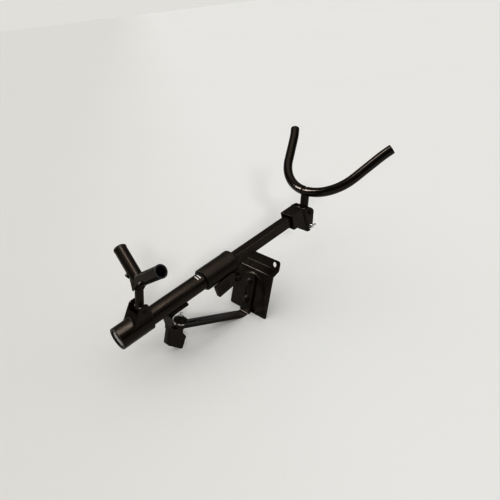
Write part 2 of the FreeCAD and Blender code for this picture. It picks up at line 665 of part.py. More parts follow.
def u_cradle():
    half, tip = u_side(U_ROD_R, 0.0, 1.2)
    rod = half.fuse(mirror_x(half)).removeSplitter()
    start = math.degrees(U_GAP / U_BEND_R)
    outer, tip = u_side(U_SLEEVE_R, start, 0.0)
    far = [e for e in outer.Edges if len(e.Vertexes) == 1 and (e.CenterOfMass - tip).Length < 0.5]
    outer = outer.makeFillet(1.4, far)
    inner, tip = u_side(U_ROD_R + 0.02, 0.0, 1.15)
    sleeve = outer.cut(inner).cut(u_post_rod(U_POST_R + 0.05))
    return rod, mirror_x(sleeve), sleeve


def u_post_rod(r):
    """Plain rod from the pivot up to the middle of the U."""
    hub = beam_point(U_PIVOT[0], U_PIVOT[1])
    top = Vec(0, U_BASE[0], U_BASE[1])
    return Part.makeCylinder(r, (top - hub).Length, hub, top - hub)


def u_post(rod):
    hub = beam_point(U_PIVOT[0], U_PIVOT[1])
    barrel_half = CLEVIS_X - SHEET - 0.35
    barrel = cyl(8.6, (-barrel_half, hub.y, hub.z), (barrel_half, hub.y, hub.z))
    body = barrel.fuse(u_post_rod(U_POST_R)).removeSplitter()
    body = body.cut(rod)
    body = max(body.Solids, key=lambda s: s.Volume)
    bore = cyl(5.5, (-barrel_half - 1, hub.y, hub.z), (barrel_half + 1, hub.y, hub.z))
    body = body.cut(bore)
    bush = cyl(5.48, (-barrel_half, hub.y, hub.z), (barrel_half, hub.y, hub.z))
    bush = bush.cut(cyl(BOLT_R + 0.05, (-30, hub.y, hub.z), (30, hub.y, hub.z)))
    return body, bush


# ---------------------------------------------------------------- V cradle
def v_arms():
    node = Vec(0, V_NODE[0], V_NODE[1])
    tip = Vec(V_TIP[0], V_TIP[1], V_TIP[2])
    length = (tip - node).Length
    d = (tip - node).normalize()
    back = node - d * 12.0
    outer = Part.makeCylinder(V_ARM_R, length + 12.0, back, d)
    inner = Part.makeCylinder(V_ARM_R - V_ARM_WALL, length + 14.0, back, d)
    right = outer.cut(inner).common(box(0.0, 200, -400, 0, -200, 200))
    right = max(right.Solids, key=lambda s: s.Volume)
    solid = outer.common(box(0.0, 200, -400, 0, -200, 200))
    ring = Part.makeCylinder(V_ARM_R + 0.35, 2.4, tip - d * 1.6, d)
    ring = ring.cut(Part.makeCylinder(V_ARM_R - V_ARM_WALL - 0.6, 6.0, tip - d * 3.0, d))
    wall = Part.makeCylinder(V_ARM_R + 0.01, 3.0, tip - d * 3.0, d)
    wall = wall.cut(Part.makeCylinder(V_ARM_R - V_ARM_WALL - 0.01, 3.0, tip - d * 3.0, d))
    ring = ring.cut(wall)
    return right, solid, ring


def v_post(arm_solids):
    pivot = beam_point(V_PIVOT[0], V_PIVOT[1])
    node = Vec(0, V_NODE[0], V_NODE[1])
    half = EAR_X - EAR_T - 0.3
    barrel = cyl(6.5, (-half, pivot.y, pivot.z), (half, pivot.y, pivot.z))
    way = (node - pivot).normalize()
    post = Part.makeCylinder(V_POST_R, (node - pivot).Length - 3.0, pivot + way * 3.0, way)
    body = barrel.fuse(post)
    for solid in arm_solids:
        body = body.cut(solid)
    body = max(body.removeSplitter().Solids, key=lambda s: s.Volume)
    bore = cyl(4.5, (-half - 1, pivot.y, pivot.z), (half + 1, pivot.y, pivot.z))
    body = body.cut(bore)
    bush = cyl(4.48, (-half, pivot.y, pivot.z), (half, pivot.y, pivot.z))
    bush = bush.cut(cyl(V_PIN_R + 0.05, (-30, pivot.y, pivot.z), (30, pivot.y, pivot.z)))
    return body, bush


def v_saddle(arm_solids, post):
    """Folded gusset under the meeting point of the arms."""
    node = Vec(0, V_NODE[0], V_NODE[1])
    z = node.z
    plates = []
    for side in (-1, 1):
        y0 = node.y + side * (V_POST_R + 1.4) - 1.2
        pts = [Vec(-17, y0, z + 6), Vec(17, y0, z + 6), Vec(0, y0, z - 17), Vec(-17, y0, z + 6)]
        plates.append(Part.Face(Part.makePolygon(pts)).extrude(Vec(0, 2.4, 0)))
    out = []
    for plate in plates:
        for solid in arm_solids:
            plate = plate.cut(solid)
        plate = plate.cut(post)
        out.append(max(plate.Solids, key=lambda s: s.Volume))
    return out


def v_nuts(arm_solids):
    nuts = []
    node = Vec(0, V_NODE[0], V_NODE[1])
    tip = Vec(V_TIP[0], V_TIP[1], V_TIP[2])
    for side in (-1, 1):
        t = 0.33
        x = side * tip.x * t
        y = node.y + (tip.y - node.y) * t
        z = node.z + (tip.z - node.z) * t
        d = Vec(0, -0.64, -0.77)
        nut = hexagon(8.0, (x, y + d.y * 8.0, z + d.z * 8.0), (x, y + d.y * 15.0, z + d.z * 15.0))
        for solid in arm_solids:
            nut = nut.cut(solid)
        nuts.append(max(nut.Solids, key=lambda s: s.Volume))
    return nuts


# ---------------------------------------------------------------- build every node
save("wall_plate", wall_plate())
save("strut_bar", strut_bar())
strut_bolts, strut_washers, strut_nuts = strut_hardware()
save("strut_bolts", Part.makeCompound(strut_bolts))
save("strut_washers", Part.makeCompound(strut_washers))
save("strut_nuts", Part.makeCompound(strut_nuts))

save("swivel_bracket", swivel_bracket())
swivel_bolt, swivel_liner, swivel_washer = swivel_hardware()
save("swivel_bolt", swivel_bolt)
save("swivel_liner", swivel_liner)
save("swivel_washer", swivel_washer)
knob, knob_insert = star_knob()
save("star_knob", knob)
save("knob_insert", knob_insert)

tube = cyl(TUBE_R, (0, PLUG_DEPTH + PLUG_T, 0), (0, TUBE_END, 0))
tube = tube.cut(cyl(TUBE_R - TUBE_WALL, (0, -1, 0), (0, TUBE_END + 1, 0)))
save("main_tube", in_beam(tube))
save("end_collar", in_beam(end_collar()))
plug = cyl(COLLAR_R - COLLAR_WALL - 0.03, (0, PLUG_DEPTH, 0), (0, PLUG_DEPTH + PLUG_T, 0))
plug = plug.cut(cyl(COLLAR_R - COLLAR_WALL - 1.4, (0, 0, 0), (0, PLUG_DEPTH + PLUG_T - 1.6, 0)))
save("end_plug", in_beam(plug))
bush = cyl(COLLAR_R - COLLAR_WALL - 0.03, (0, PLUG_DEPTH + PLUG_T, 0), (0, COLLAR_LEN, 0))
save("collar_bush", in_beam(bush.cut(cyl(TUBE_R + 0.03, (0, 0, 0), (0, COLLAR_LEN + 1, 0)))))
save("cradle_bracket", in_beam(ears()))
save("v_pivot_pin", in_beam(v_pin()))

save("clamp_sleeve", in_beam(clamp_sleeve()))
save("clamp_lugs", in_beam(Part.makeCompound(clamp_block())))
clamp_bolt, clamp_nut, clamp_washers, clamp_screws = clamp_hardware()
save("clamp_bolt", in_beam(clamp_bolt))
save("clamp_nut", in_beam(clamp_nut))
save("clamp_washers", in_beam(Part.makeCompound(clamp_washers)))
save("clamp_screws", in_beam(Part.makeCompound(clamp_screws)))
lever, cam_pin = cam_lever()
save("cam_lever", in_beam(lever))
save("cam_pin", in_beam(cam_pin))
save("guide_bush", in_beam(guide_bush()))

save("square_tube", in_beam(square_tube()))
save("slide_foot", in_beam(slide_foot()))
socket, socket_bush = u_socket()
save("u_socket", in_beam(socket))
save("socket_bush", in_beam(socket_bush))
save("clevis_bracket", in_beam(clevis_bracket()))
u_bolt, u_nut, wing_bolt, wing_spacer = clevis_hardware()
save("u_pivot_bolt", in_beam(u_bolt))
save("u_pivot_nut", in_beam(u_nut))
save("wing_bolt", in_beam(wing_bolt))
save("wing_spacer", in_beam(wing_spacer))
save("wing_nut", in_beam(wing_nut()))

rod, left_sleeve, right_sleeve = u_cradle()
save("u_rod", rod)
save("u_sleeve_left", left_sleeve)
save("u_sleeve_right", right_sleeve)
post, post_bush = u_post(rod)
save("u_post", post)
save("u_post_bush", post_bush)

arm, arm_solid, arm_ring = v_arms()
solids = [arm_solid, mirror_x(arm_solid)]
save("v_arm_right", arm)
save("v_arm_left", mirror_x(arm))
save("v_end_rings", Part.makeCompound([arm_ring, mirror_x(arm_ring)]))
vpost, vbush = v_post(solids)
save("v_post", vpost)
save("v_post_bush", vbush)
save("v_gussets", Part.makeCompound(v_saddle(solids, vpost)))
save("v_nuts", Part.makeCompound(v_nuts(solids)))
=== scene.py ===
import json
import math

import bmesh
import bpy
from mathutils import Matrix, Vector, noise


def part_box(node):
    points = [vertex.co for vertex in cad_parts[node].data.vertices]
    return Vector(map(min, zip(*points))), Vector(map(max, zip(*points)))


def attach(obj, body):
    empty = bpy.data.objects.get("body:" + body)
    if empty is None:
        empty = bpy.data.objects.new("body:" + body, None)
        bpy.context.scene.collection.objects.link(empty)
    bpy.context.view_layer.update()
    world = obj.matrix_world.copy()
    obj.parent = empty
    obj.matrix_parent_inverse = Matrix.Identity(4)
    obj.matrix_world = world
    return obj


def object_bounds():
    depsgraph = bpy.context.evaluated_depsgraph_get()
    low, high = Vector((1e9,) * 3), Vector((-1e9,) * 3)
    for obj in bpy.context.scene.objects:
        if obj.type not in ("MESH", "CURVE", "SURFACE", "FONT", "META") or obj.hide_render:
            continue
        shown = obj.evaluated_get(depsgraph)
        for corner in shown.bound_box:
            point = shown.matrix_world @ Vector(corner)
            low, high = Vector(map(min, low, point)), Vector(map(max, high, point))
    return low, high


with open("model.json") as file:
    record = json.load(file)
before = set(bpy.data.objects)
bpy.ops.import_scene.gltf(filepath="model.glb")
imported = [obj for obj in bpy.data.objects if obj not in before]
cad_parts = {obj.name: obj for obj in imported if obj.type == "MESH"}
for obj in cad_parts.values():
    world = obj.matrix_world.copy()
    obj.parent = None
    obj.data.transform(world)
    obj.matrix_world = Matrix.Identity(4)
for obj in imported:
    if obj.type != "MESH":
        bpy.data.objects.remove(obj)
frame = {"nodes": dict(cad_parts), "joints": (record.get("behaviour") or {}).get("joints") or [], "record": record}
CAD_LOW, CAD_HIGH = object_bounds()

MM = 0.001
NODES = frame["nodes"]
JOINTS = {joint["name"]: joint for joint in frame["joints"]}

# ---------------------------------------------------------------- places taken from the frame
ALONG = Vector(JOINTS["beam_slide"]["axis"]).normalized()     # up the beam
ABOVE = Vector(JOINTS["lever_swing"]["axis"]).normalized()    # square to it, upwards
SIDE = Vector((1, 0, 0))
V_PIVOT = Vector(JOINTS["v_tilt"]["pos_m"])
U_PIVOT = Vector(JOINTS["u_tilt"]["pos_m"])
U_BASE = Vector((0.0, 90.5, 135.9)) * MM        # where the U's post meets its rod
V_NODE = Vector((0.0, -278.4, -19.2)) * MM      # where the V's two arms meet

# Bare lengths below are in millimetres, along the beam or out from its axis unless they say otherwise.
V_PIVOT_S = 55.2        # the V's pivot along the beam, and above its axis
V_PIVOT_V = 27.3
BEAM_ORIGIN = V_PIVOT - ALONG * V_PIVOT_S * MM - ABOVE * V_PIVOT_V * MM
TUBE_R = 15.9
COLLAR_R = 20.2
COLLAR_END = 63.5
SOCKET_END = 440.0      # where the clevis is welded to the square socket
MARK_START = 56.0       # the printed bars' ends, in degrees round the tube
MARK_END = 96.0
PLATE_FACE = -15.5      # y of the wall plate's main face
BOSS_Z = -62.8          # height of the pressed boss's centre
FOLD_FACE = -3.2        # y, height and half length of the fold between the screw flange and the step
FOLD_Z = -8.7
FOLD_HALF = 48.5


def beam(s, v, x=0.0):
    """Point s along the beam from its lower end, v above its axis, in millimetres."""
    return BEAM_ORIGIN + ALONG * (s * MM) + ABOVE * (v * MM) + SIDE * (x * MM)


# ---------------------------------------------------------------- shader graphs
WARM = (1.0, 0.84, 0.7)      # brown cast of the black finishes' reflections
PAINT_TONE = (0.0066, 0.0042, 0.0027)


class Graph:
    """A material's node tree, built from short calls."""

    def __init__(self, name):
        self.material = bpy.data.materials.new(name)
        self.material.use_nodes = True
        self.tree = self.material.node_tree
        self.shader = self.tree.nodes["Principled BSDF"]
        self.coords = self.add("ShaderNodeTexCoord").outputs["Object"]

    def add(self, kind, **values):
        node = self.tree.nodes.new(kind)
        for key, value in values.items():
            setattr(node, key, value)
        return node

    def link(self, source, target):
        self.tree.links.new(source, target)

    def noise(self, scale, detail=3.0, roughness=0.5, stretch=None):
        node = self.add("ShaderNodeTexNoise")
        node.inputs["Scale"].default_value = scale
        node.inputs["Detail"].default_value = detail
        node.inputs["Roughness"].default_value = roughness
        source = self.coords
        if stretch:
            mapping = self.add("ShaderNodeMapping")
            mapping.inputs["Scale"].default_value = stretch
            self.link(source, mapping.inputs["Vector"])
            source = mapping.outputs["Vector"]
        self.link(source, node.inputs["Vector"])
        return node.outputs["Fac"]

    def ramp(self, source, stops):
        node = self.add("ShaderNodeValToRGB")
        elements = node.color_ramp.elements
        while len(elements) < len(stops):
            elements.new(0.5)
        for element, (place, colour) in zip(elements, stops):
            element.position = place
            element.color = (*colour, 1.0)
        self.link(source, node.inputs["Fac"])
        return node.outputs["Color"]

    def remap(self, source, low, high, start=0.0, end=1.0):
        node = self.add("ShaderNodeMapRange")
        node.inputs["From Min"].default_value = start
        node.inputs["From Max"].default_value = end
        node.inputs["To Min"].default_value = low
        node.inputs["To Max"].default_value = high
        self.link(source, node.inputs["Value"])
        return node.outputs["Result"]

    def mix(self, factor, first, second):
        node = self.add("ShaderNodeMix", data_type="RGBA")
        self.link(factor, node.inputs["Factor"])
        for socket, value in ((node.inputs[6], first), (node.inputs[7], second)):
            if isinstance(value, tuple):
                socket.default_value = (*value, 1.0)
            else:
                self.link(value, socket)
        return node.outputs[2]

    def math(self, operation, first, second):
        node = self.add("ShaderNodeMath", operation=operation)
        for socket, value in zip(node.inputs, (first, second)):
            if isinstance(value, (int, float)):
                socket.default_value = value
            else:
                self.link(value, socket)
        return node.outputs[0]

    def bump(self, height, distance, strength=1.0, after=None):
        node = self.add("ShaderNodeBump")
        node.inputs["Distance"].default_value = distance
        node.inputs["Strength"].default_value = strength
        self.link(height, node.inputs["Height"])
        if after is not None:
            self.link(after, node.inputs["Normal"])
        return node.outputs["Normal"]

    def edges(self):
        """1 on convex edges, where the colour is lightened as a painted highlight, 0 elsewhere, broken up by
        noise.
        """
        pointiness = self.add("ShaderNodeNewGeometry").outputs["Pointiness"]
        raised = self.remap(pointiness, 0.0, 1.0, 0.53, 0.62)
        return self.math("MULTIPLY", raised, self.remap(self.noise(900.0, 4.0), 0.0, 1.0, 0.45, 0.7))

    def finish(self, colour, roughness, normal=None, warm=False, **constants):
        self.link(colour, self.shader.inputs["Base Color"])
        self.link(roughness, self.shader.inputs["Roughness"])
        if normal is not None:
            self.link(normal, self.shader.inputs["Normal"])
        for name, value in constants.items():
            self.shader.inputs[name.replace("_", " ")].default_value = value
        if warm:
            self.shader.inputs["Specular Tint"].default_value = (*WARM, 1.0)
        return self.material


def black_paint(name, rough):
    g = Graph(name)
    cloud = g.noise(38.0, 4.0, 0.6)
    dark = tuple(0.72 * c for c in PAINT_TONE)
    pale = tuple(1.35 * c for c in PAINT_TONE)
    colour = g.ramp(cloud, [(0.3, dark), (0.7, pale)])
    dust = g.remap(g.noise(2600.0, 2.0), 0.0, 0.09, 0.7, 0.82)
    colour = g.mix(dust, colour, (0.08, 0.07, 0.06))
    # painted highlight: the paint's convex edges are lightened
    colour = g.mix(g.math("MULTIPLY", g.edges(), 0.14), colour, (0.1, 0.085, 0.072))
    smear = g.noise(60.0, 5.0, 0.65, (1.0, 0.35, 1.6))
    roughness = g.remap(smear, rough - 0.05, rough + 0.1, 0.3, 0.7)
    peel = g.bump(g.noise(780.0, 2.0, 0.4), 0.00003, 0.5)
    nicks = g.bump(g.noise(160.0, 3.0, 0.5), 0.00006, 0.35, peel)
    return g.finish(
        colour, roughness, nicks, True, Coat_Weight=0.05, Coat_Roughness=0.06, Specular_IOR_Level=0.3)


def moulded_plastic(name, tone, rough):
    g = Graph(name)
    dark = tuple(0.8 * c for c in tone)
    pale = tuple(1.25 * c for c in tone)
    colour = g.ramp(g.noise(55.0, 4.0), [(0.3, dark), (0.7, pale)])
    # painted highlight: the plastic's convex edges are lightened
    colour = g.mix(g.math("MULTIPLY", g.edges(), 0.25), colour, tuple(3.0 * c for c in tone))
    roughness = g.remap(g.noise(120.0, 5.0), rough - 0.06, rough + 0.08, 0.3, 0.7)
    normal = g.bump(g.noise(1500.0, 2.0, 0.55), 0.00005, 0.6)
    return g.finish(colour, roughness, normal, True, Specular_IOR_Level=0.3)


def soft_vinyl():
    g = Graph("soft_vinyl")
    colour = g.ramp(g.noise(70.0, 4.0), [(0.3, (0.003, 0.0025, 0.0021)), (0.7, (0.0052, 0.0043, 0.0036))])
    lint = g.remap(g.noise(1900.0, 3.0), 0.0, 0.08, 0.72, 0.84)
    colour = g.mix(lint, colour, (0.12, 0.115, 0.11))
    roughness = g.remap(g.noise(90.0, 5.0), 0.09, 0.18, 0.3, 0.7)
    ripple = g.bump(g.noise(210.0, 2.0, 0.4), 0.00022, 0.35)
    fine = g.bump(g.noise(1300.0, 2.0), 0.00002, 0.4, ripple)
    return g.finish(
        colour, roughness, fine, True, Specular_IOR_Level=0.36, Coat_Weight=0.14, Coat_Roughness=0.05)


def black_rubber():
    g = Graph("black_rubber")
    colour = g.ramp(g.noise(120.0, 5.0), [(0.3, (0.008, 0.008, 0.008)), (0.7, (0.018, 0.017, 0.016))])
    roughness = g.remap(g.noise(300.0, 4.0), 0.5, 0.72, 0.3, 0.7)
    normal = g.bump(g.noise(1700.0, 3.0), 0.00008, 0.6)
    return g.finish(colour, roughness, normal, IOR=1.5)


def plated(name, tone, rough, streak=(1.0, 1.0, 1.0), stain=0.25):
    g = Graph(name)
    cloud = g.noise(150.0, 5.0, 0.6)
    colour = g.ramp(cloud, [(0.3, tuple((1 - stain) * c for c in tone)), (0.65, tone)])
    lines = g.noise(900.0, 3.0, 0.6, streak)
    roughness = g.remap(lines, rough - 0.05, rough + 0.12, 0.3, 0.7)
    normal = g.bump(lines, 0.00002, 0.4)
    return g.finish(colour, roughness, normal, Metallic=1.0)


def light_plastic():
    g = Graph("light_plastic")
    colour = g.ramp(g.noise(80.0, 4.0), [(0.3, (0.5, 0.49, 0.47)), (0.7, (0.6, 0.59, 0.57))])
    scuff = g.remap(g.noise(700.0, 4.0), 0.0, 0.35, 0.62, 0.8)
    colour = g.mix(scuff, colour, (0.3, 0.295, 0.28))
    roughness = g.remap(g.noise(260.0, 4.0), 0.38, 0.55, 0.3, 0.7)
    return g.finish(colour, roughness, g.bump(g.noise(1200.0, 2.0), 0.00005, 0.5), IOR=1.46)


# Very dark grey for the disc in the end plug: painted shade on the plug's floor.
def painted_shade_grey():
    g = Graph("painted_shade_grey")
    colour = g.ramp(g.noise(160.0, 4.0), [(0.3, (0.017, 0.016, 0.015)), (0.7, (0.026, 0.025, 0.023))])
    roughness = g.remap(g.noise(300.0, 4.0), 0.45, 0.65, 0.3, 0.7)
    return g.finish(colour, roughness, g.bump(g.noise(1400.0, 2.0), 0.00004, 0.5), Specular_IOR_Level=0.25)


def white_print():
    g = Graph("white_print")
    colour = g.ramp(g.noise(900.0, 3.0), [(0.35, (0.55, 0.54, 0.52)), (0.6, (0.74, 0.73, 0.71))])
    roughness = g.remap(g.noise(500.0, 3.0), 0.4, 0.6, 0.3, 0.7)
    return g.finish(colour, roughness, g.bump(g.noise(1500.0, 2.0), 0.00002, 0.4), IOR=1.46)


MATERIALS = {
    "black_paint": black_paint("black_paint", 0.27),
    "black_plastic": moulded_plastic("black_plastic", (0.0062, 0.005, 0.0041), 0.42),
    "satin_plastic": moulded_plastic("satin_plastic", (0.0098, 0.0078, 0.0062), 0.32),
    "soft_vinyl": soft_vinyl(),
    "black_rubber": black_rubber(),
    "light_plastic": light_plastic(),
    "bright_zinc": plated("bright_zinc", (0.74, 0.74, 0.73), 0.26),
    "black_zinc": plated("black_zinc", (0.034, 0.031, 0.028), 0.42),
    "chrome": plated("chrome", (0.82, 0.82, 0.82), 0.1, (1.0, 3.0, 1.0), 0.1),
}
WELD_PAINT = black_paint("weld_paint", 0.4)
PRINT = white_print()
PAINTED_SHADE_GREY = painted_shade_grey()


def dress(obj, material):
    obj.data.materials.clear()
    obj.data.materials.append(material)


# ---------------------------------------------------------------- the CAD nodes keep their shape
SMOOTH_LIMIT = math.radians(32)
EDGE_BREAK_USUAL = 0.2
EDGE_BREAK = {
    "wall_plate": 0.8, "strut_bar": 1.0, "swivel_bracket": 0.4, "cradle_bracket": 0.45,
    "clevis_bracket": 0.45, "clamp_lugs": 0.6, "clamp_sleeve": 0.25, "cam_lever": 0.9,
    "star_knob": 0.5, "square_tube": 0.15, "u_socket": 0.3,
    "v_gussets": 0.35, "wing_nut": 0.4,
}


def soften(obj, width):
    """Joins the facets, breaks the sharp edges and evens out the shading."""
    for polygon in obj.data.polygons:
        polygon.use_smooth = True
    weld = obj.modifiers.new("weld", "WELD")
    weld.merge_threshold = 0.00001
    bevel = obj.modifiers.new("bevel", "BEVEL")
    bevel.width = width * MM
    bevel.segments = 2
    bevel.limit_method = "ANGLE"
    bevel.angle_limit = SMOOTH_LIMIT
    bevel.use_clamp_overlap = True
    normals = obj.modifiers.new("normals", "WEIGHTED_NORMAL")
    normals.keep_sharp = True


for part in frame["record"]["subparts"]:
    node = NODES[part["node"]]
    dress(node, MATERIALS[part["material_slot"]])
    soften(node, EDGE_BREAK.get(part["node"], EDGE_BREAK_USUAL))


# ---------------------------------------------------------------- mesh helpers
def new_object(name, bm, material, body):
    """Makes a piece from the mesh and lets it ride on a body."""
    mesh = bpy.data.meshes.new(name)
    bmesh.ops.recalc_face_normals(bm, faces=bm.faces)
    bm.to_mesh(mesh)
    bm.free()
    for polygon in mesh.polygons:
        polygon.use_smooth = True
    obj = bpy.data.objects.new(name, mesh)
    bpy.context.scene.collection.objects.link(obj)
    dress(obj, material)
    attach(obj, body)


def ring_frame(direction):
    """Two unit vectors square to the direction and to each other."""
    d = direction.normalized()
    side = d.cross(Vector((0.31, 0.17, 0.94)))
    if side.length < 0.1:
        side = d.cross(Vector((0.9, 0.2, 0.1)))
    side.normalize()
    return side, d.cross(side)


def bead(name, points, radius, body, closed=False, seed=0.0, rough=1.0):
    """Tube laid along the points: an uneven weld bead, or a smooth roll where rough is 0."""
    bm = bmesh.new()
    count = len(points)
    rings = []
    sides = 8
    run = 0.0
    for i, point in enumerate(points):
        before = points[i - 1] if i or closed else points[i]
        after = points[(i + 1) % count] if i + 1 < count or closed else points[i]
        side, up = ring_frame(after - before)
        run += (point - points[i - 1]).length if i else 0.0
        ripple = 1.0 + rough * 0.16 * math.sin(run / 0.0011 * math.pi)
        ripple += rough * 0.22 * noise.noise(Vector((run * 420.0, seed, 0.3)))
        if not closed and i in (0, count - 1):
            ripple *= 0.35
        ring = []
        for k in range(sides):
            a = 2 * math.pi * k / sides
            ring.append(bm.verts.new(point + (side * math.cos(a) + up * math.sin(a)) * radius * ripple))
        rings.append(ring)
    spans = list(zip(rings, rings[1:]))
    if closed:
        spans.append((rings[-1], rings[0]))
    for a, b in spans:
        best = 0
        if closed and a is rings[-1]:
            best = min(range(sides), key=lambda n: (a[0].co - b[n].co).length)
        for k in range(sides):
            bm.faces.new((a[k], a[(k + 1) % sides], b[(k + 1 + best) % sides], b[(k + best) % sides]))
    if not closed:
        bm.faces.new(rings[0])
        bm.faces.new(rings[-1])
    material = WELD_PAINT if rough else MATERIALS["black_paint"]
    new_object(name, bm, material, body)


POINT_STEP = 0.0005      # metres between the points of a bead


def line(start, end):
    count = max(3, int((end - start).length / POINT_STEP))
    return [start.lerp(end, i / count) for i in range(count + 1)]


def arc(centre, first, second, radius, start, end):
    """Points round a circle; start and end in degrees, from first towards second."""
    count = max(6, int(abs(math.radians(end - start)) * radius / POINT_STEP))
    out = []
    for i in range(count + 1):
        a = math.radians(start + (end - start) * i / count)
        out.append(centre + (first * math.cos(a) + second * math.sin(a)) * radius)
    return out


# ---------------------------------------------------------------- welds
def mirrored(points):
    return [Vector((-p.x, p.y, p.z)) for p in points]


def both_sides(name, points, radius, body, seed):
    """The same bead on the right and, mirrored, on the left; its radius in millimetres."""
    bead(name + "_right", points, radius * MM, body, seed=seed)
    bead(name + "_left", mirrored(points), radius * MM, body, seed=seed + 5.0)


def ear_welds():
    """Along both ears' feet and where the sloping plate between them meets the collar."""
    foot_v, foot_x = 11.2, 17.4
    both_sides("weld_ear", line(beam(27.0, foot_v, foot_x), beam(62.3, foot_v, foot_x)), 1.25, "beam", 1.0)
    half = 16.4
    slope = 0.833
    points = []
    for i in range(61):
        x = -half + 2.0 * half * i / 60
        v = math.sqrt(COLLAR_R ** 2 - x * x)
        points.append(beam(23.4 + (v - 8.0) * slope, v + 0.2, x))
    bead("weld_wedge", points, 1.1 * MM, "beam", seed=2.0)


def beam_welds():
    """Under the tube along the swivel bracket's rail, and round the collar's end."""
    rail_v, rail_x = -14.5, 10.0
    both_sides("weld_rail", line(beam(101.0, rail_v, rail_x), beam(137.4, rail_v, rail_x)), 1.7, "beam", 3.0)
    ring = arc(beam(COLLAR_END, 0.0), SIDE, ABOVE, (TUBE_R + 1.0) * MM, 0, 358)
    bead("weld_collar", ring, 1.0 * MM, "beam", closed=True, seed=4.0)


def socket_welds():
    """Round the square socket where the clevis meets it."""
    half = 13.6
    s = SOCKET_END - 0.2
    both_sides("weld_socket", line(beam(s, -14.6, 16.2), beam(s, 13.4, 16.2)), 1.3, "slider", 6.0)
    top = line(beam(SOCKET_END + 0.3, 15.3, -half), beam(SOCKET_END + 0.3, 15.3, half))
    bead("weld_socket_top", top, 1.3 * MM, "slider", seed=7.0)
    under = line(beam(s, -16.2, -half), beam(s, -16.2, half))
    bead("weld_socket_under", under, 1.3 * MM, "slider", seed=8.0)


def u_welds():
    """Two beads where the post's end is fitted to the U's bare rod."""
    post_r = 8.3
    rod_r = 7.0
    rod_half = 6.7
    flare = 1.16
    axis = (U_BASE - U_PIVOT).normalized()
    across = SIDE.cross(axis)
    for name, start in (("front", 230), ("back", 50)):
        points = []
        for i in range(41):
            a = math.radians(start + 80 * i / 40)
            w = max(-rod_half, min(rod_half, post_r * math.sin(a)))
            drop = math.sqrt(rod_r ** 2 - w * w)
            points.append(U_BASE + (SIDE * (post_r * math.cos(a)) + across * w * flare - axis * drop) * MM)
        bead("weld_u_" + name, points, 1.15 * MM, "u_cradle", seed=9.0 + start)


def v_welds():
    """Round the top of the post, and the seam where the two arms meet."""
    axis = (V_NODE - V_PIVOT).normalized()
    across = SIDE.cross(axis)
    post_top, post_r = 12.6, 7.5
    ring = arc(V_NODE - axis * post_top * MM, SIDE, across, post_r * MM, 0, 355)
    bead("weld_v_post", ring, 1.3 * MM, "v_cradle", closed=True, seed=11.0)
    seam = []
    steps = 150
    for i in range(steps):
        a = 2 * math.pi * i / steps
        seam.append(V_NODE + Vector((0.0, 11.1 * math.cos(a), 13.0 * math.sin(a))) * MM)
    bead("weld_v_seam", seam, 0.75 * MM, "v_cradle", closed=True, seed=12.0)


def plate_rolls():
    """Rolled ridges in the plate: round the foot of the pressed boss and along the upper fold."""
    foot = Vector((0.0, PLATE_FACE, BOSS_Z)) * MM
    ring = arc(foot - Vector((0, 0.9 * MM, 0)), SIDE, Vector((0, 0, 1)), 36.4 * MM, 0, 359)
    bead("roll_boss", ring, 1.1 * MM, "wall_bracket", closed=True, rough=0.0)
    fold = [Vector((x, FOLD_FACE, FOLD_Z)) * MM for x in (-FOLD_HALF, FOLD_HALF)]
    bead("roll_fold", line(*fold), 1.2 * MM, "wall_bracket", rough=0.0)


ear_welds()
beam_welds()
socket_welds()
u_welds()
v_welds()
plate_rolls()


# ---------------------------------------------------------------- small moulded and printed details
def soft_block(bm, centre, axes, halves, round_off):
    """Box with rounded corners; axes are unit vectors, halves in metres."""
    built = bmesh.ops.create_cube(bm, size=1.0)["verts"]
    for vert in built:
        place = centre.copy()
        for k in range(3):
            place += axes[k] * (2.0 * vert.co[k] * halves[k])
        vert.co = place
    edges = list({e for v in built for e in v.link_edges})
    bmesh.ops.bevel(bm, geom=edges, offset=round_off, segments=2, affect="EDGES", profile=0.6)


def lever_ridges():
    """Two rows of short grip ridges on the lever's outer face."""
    first, pitch = 205.0, 3.3
    face_x = 22.25
    bm = bmesh.new()
    for row, v in enumerate((-20.3, -26.2)):
        for i in range(6):
            s = first + pitch * i
            centre = beam(s, v + (s - 213.0) * 0.1, face_x)
            halves = (0.75 * MM, (1.9 - 0.2 * row) * MM, 0.55 * MM)
            soft_block(bm, centre, (ALONG, ABOVE, SIDE), halves, 0.3 * MM)
    new_object("lever_ridges", bm, MATERIALS["satin_plastic"], "lever")


def dome(bm, centre, axis, radius, height, rings=5, sides=24):
    """Low round head standing on a flat face."""
    side, up = ring_frame(axis)
    previous = None
    for i in range(rings + 1):
        a = math.pi / 2 * i / rings
        r = radius * math.cos(a)
        lift = height * math.sin(a)
        if i == rings:
            top = bm.verts.new(centre + axis * lift)
            for k in range(sides):
                bm.faces.new((previous[k], previous[(k + 1) % sides], top))
            return
        ring = []
        for k in range(sides):
            t = 2 * math.pi * k / sides
            ring.append(bm.verts.new(centre + (side * math.cos(t) + up * math.sin(t)) * r + axis * lift))
        if previous:
            for k in range(sides):
                bm.faces.new((previous[k], previous[(k + 1) % sides], ring[(k + 1) % sides], ring[k]))
        else:
            bm.faces.new(ring)
        previous = ring


def pin_dots():
    """Riveted heads of the V's pivot pin."""
    ear_x = 18.75
    bm = bmesh.new()
    for x in (-1, 1):
        dome(bm, beam(V_PIVOT_S, V_PIVOT_V, x * ear_x), SIDE * x, 1.7 * MM, 0.6 * MM)
    new_object("pin_dots", bm, MATERIALS["black_zinc"], "beam")


